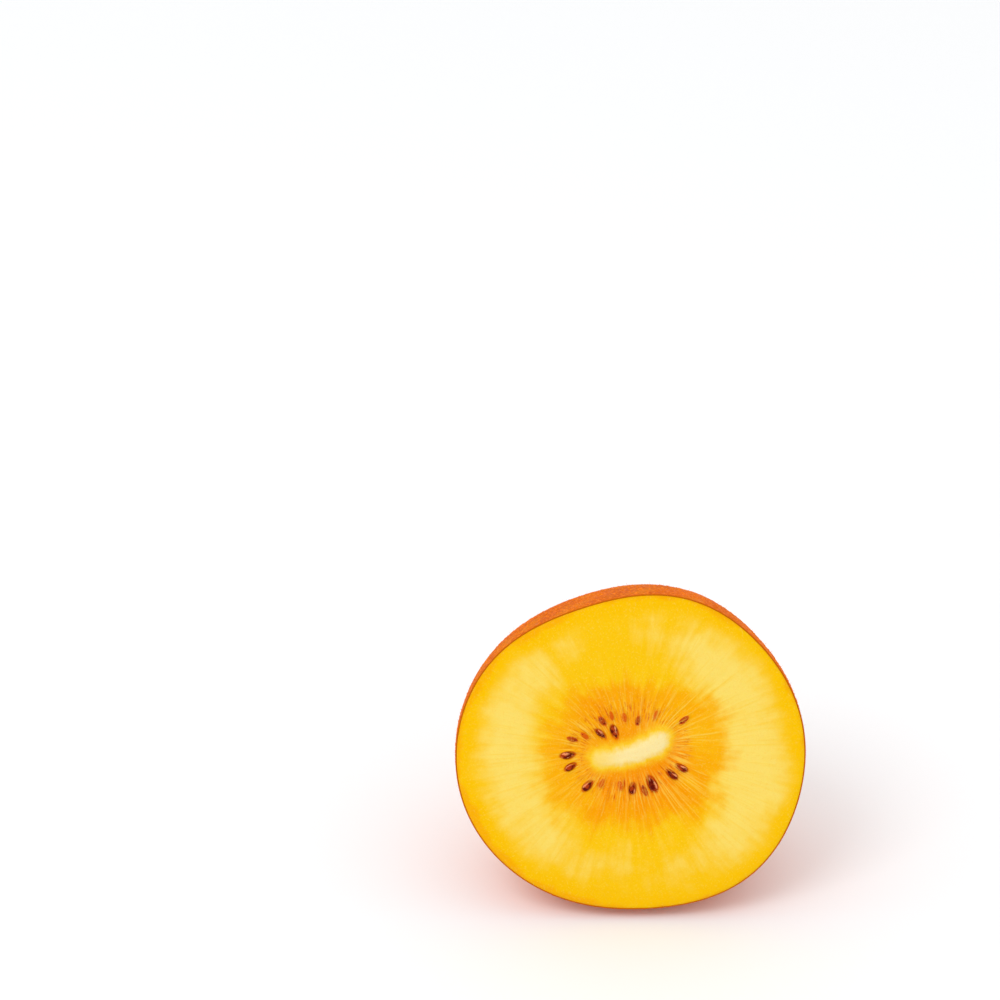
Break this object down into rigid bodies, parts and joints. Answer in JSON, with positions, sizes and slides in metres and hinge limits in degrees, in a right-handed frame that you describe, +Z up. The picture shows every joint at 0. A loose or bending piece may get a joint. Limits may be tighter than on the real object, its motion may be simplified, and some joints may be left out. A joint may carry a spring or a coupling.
{
  "type": "golden kiwi fruit, cut half",
  "caption": "Half of a golden kiwi fruit cut across its middle, lying tilted on a small flat spot, with a pale core, radial seed chambers, dark seeds and a thin brown skin.",
  "frame": {"origin": "on the surface that the half lies on, under the middle of its box", "axes": "+Z up; the cut face looks toward -Y and leans 15 degrees back; the stem end is toward +Y; +X runs across the cut face"},
  "size_m": [0.0544, 0.0394, 0.0508],
  "materials": {
    "flesh": "wet, slightly translucent golden yellow fruit flesh",
    "skin": "thin, dry, matt orange-brown skin with fine dots and short fuzz",
    "seed": "hard, wet, very dark brown seed coat",
    "fibre": "wet, pale cream strands in the flesh"
  },
  "bodies": {
    "root": {"kiwi_half": "flesh"}
  },
  "joints": []
}
